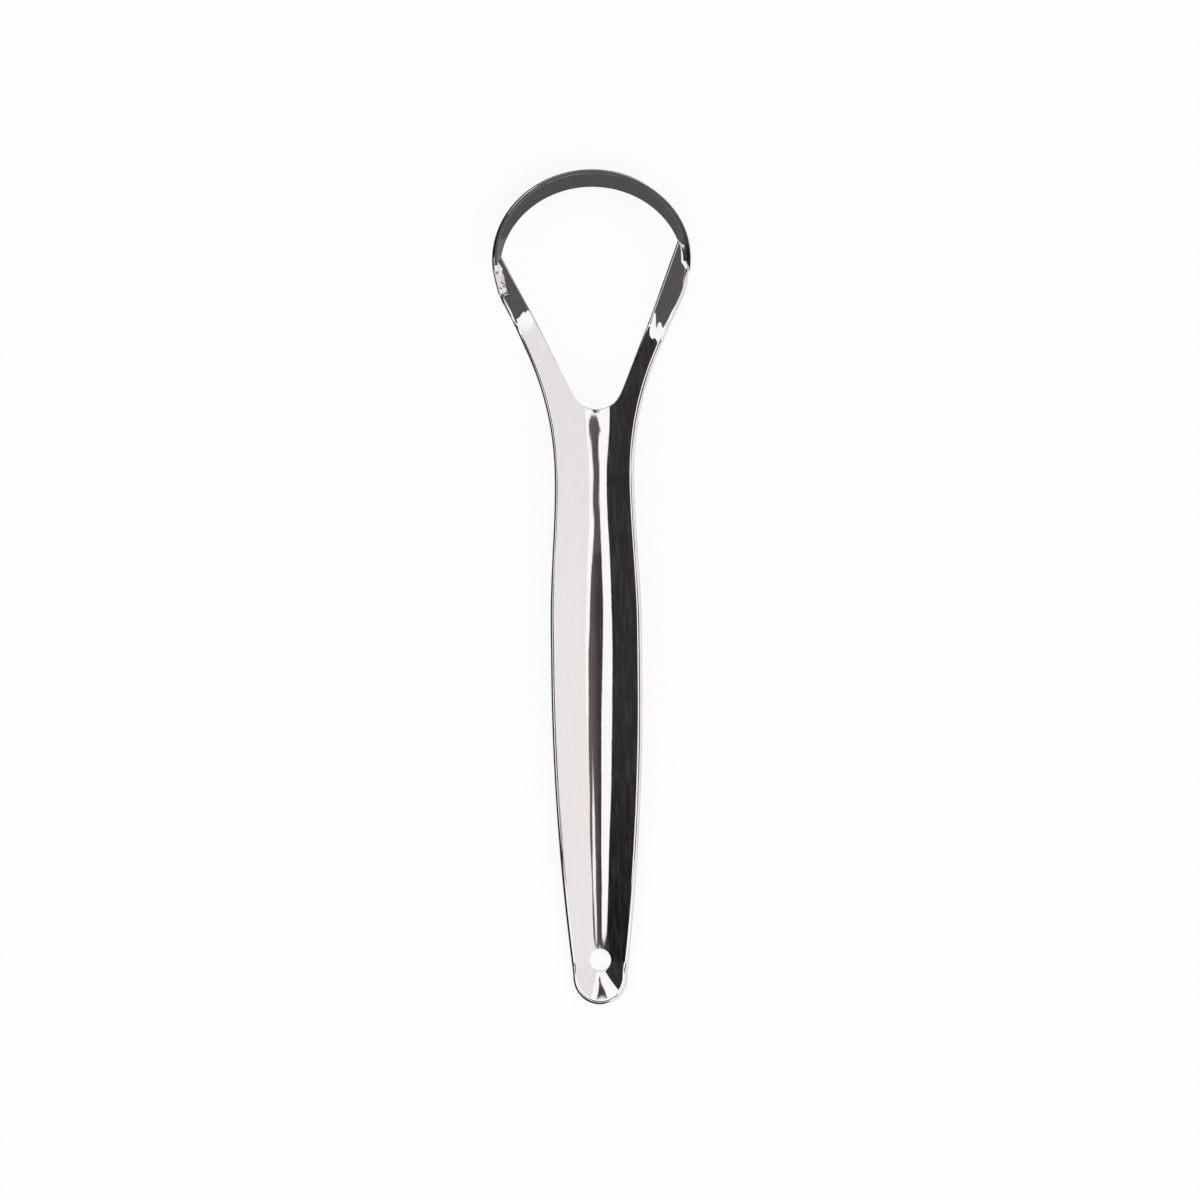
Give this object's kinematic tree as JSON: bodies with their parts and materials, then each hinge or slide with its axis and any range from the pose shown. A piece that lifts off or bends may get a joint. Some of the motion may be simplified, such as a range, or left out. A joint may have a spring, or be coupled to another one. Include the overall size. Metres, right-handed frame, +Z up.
{
  "type": "tongue scraper",
  "caption": "Polished steel tongue scraper: trough-shaped handle with a hanging hole, forked into two arms that drop into a flat head and hold an upright strip hoop.",
  "frame": {"origin": "on the table under the middle of the box, with the tool lying hollow side up on its keel and the hoop's far rim", "axes": "+Y along the tool from the hanging hole to the hoop, +Z up out of the hollow side, +X to the right seen from above with the hoop away from the viewer"},
  "size_m": [0.0369, 0.1554, 0.0129],
  "materials": {
    "handle_steel": "mirror-polished stainless steel with fine polishing scratches",
    "hoop_steel": "polished stainless steel strip, brushed along its length",
    "weld_steel": "ground and polished weld fillet"
  },
  "bodies": {
    "root": {"handle": "handle_steel", "scraping_hoop": "hoop_steel", "left_weld": "weld_steel", "right_weld": "weld_steel"}
  },
  "joints": []
}
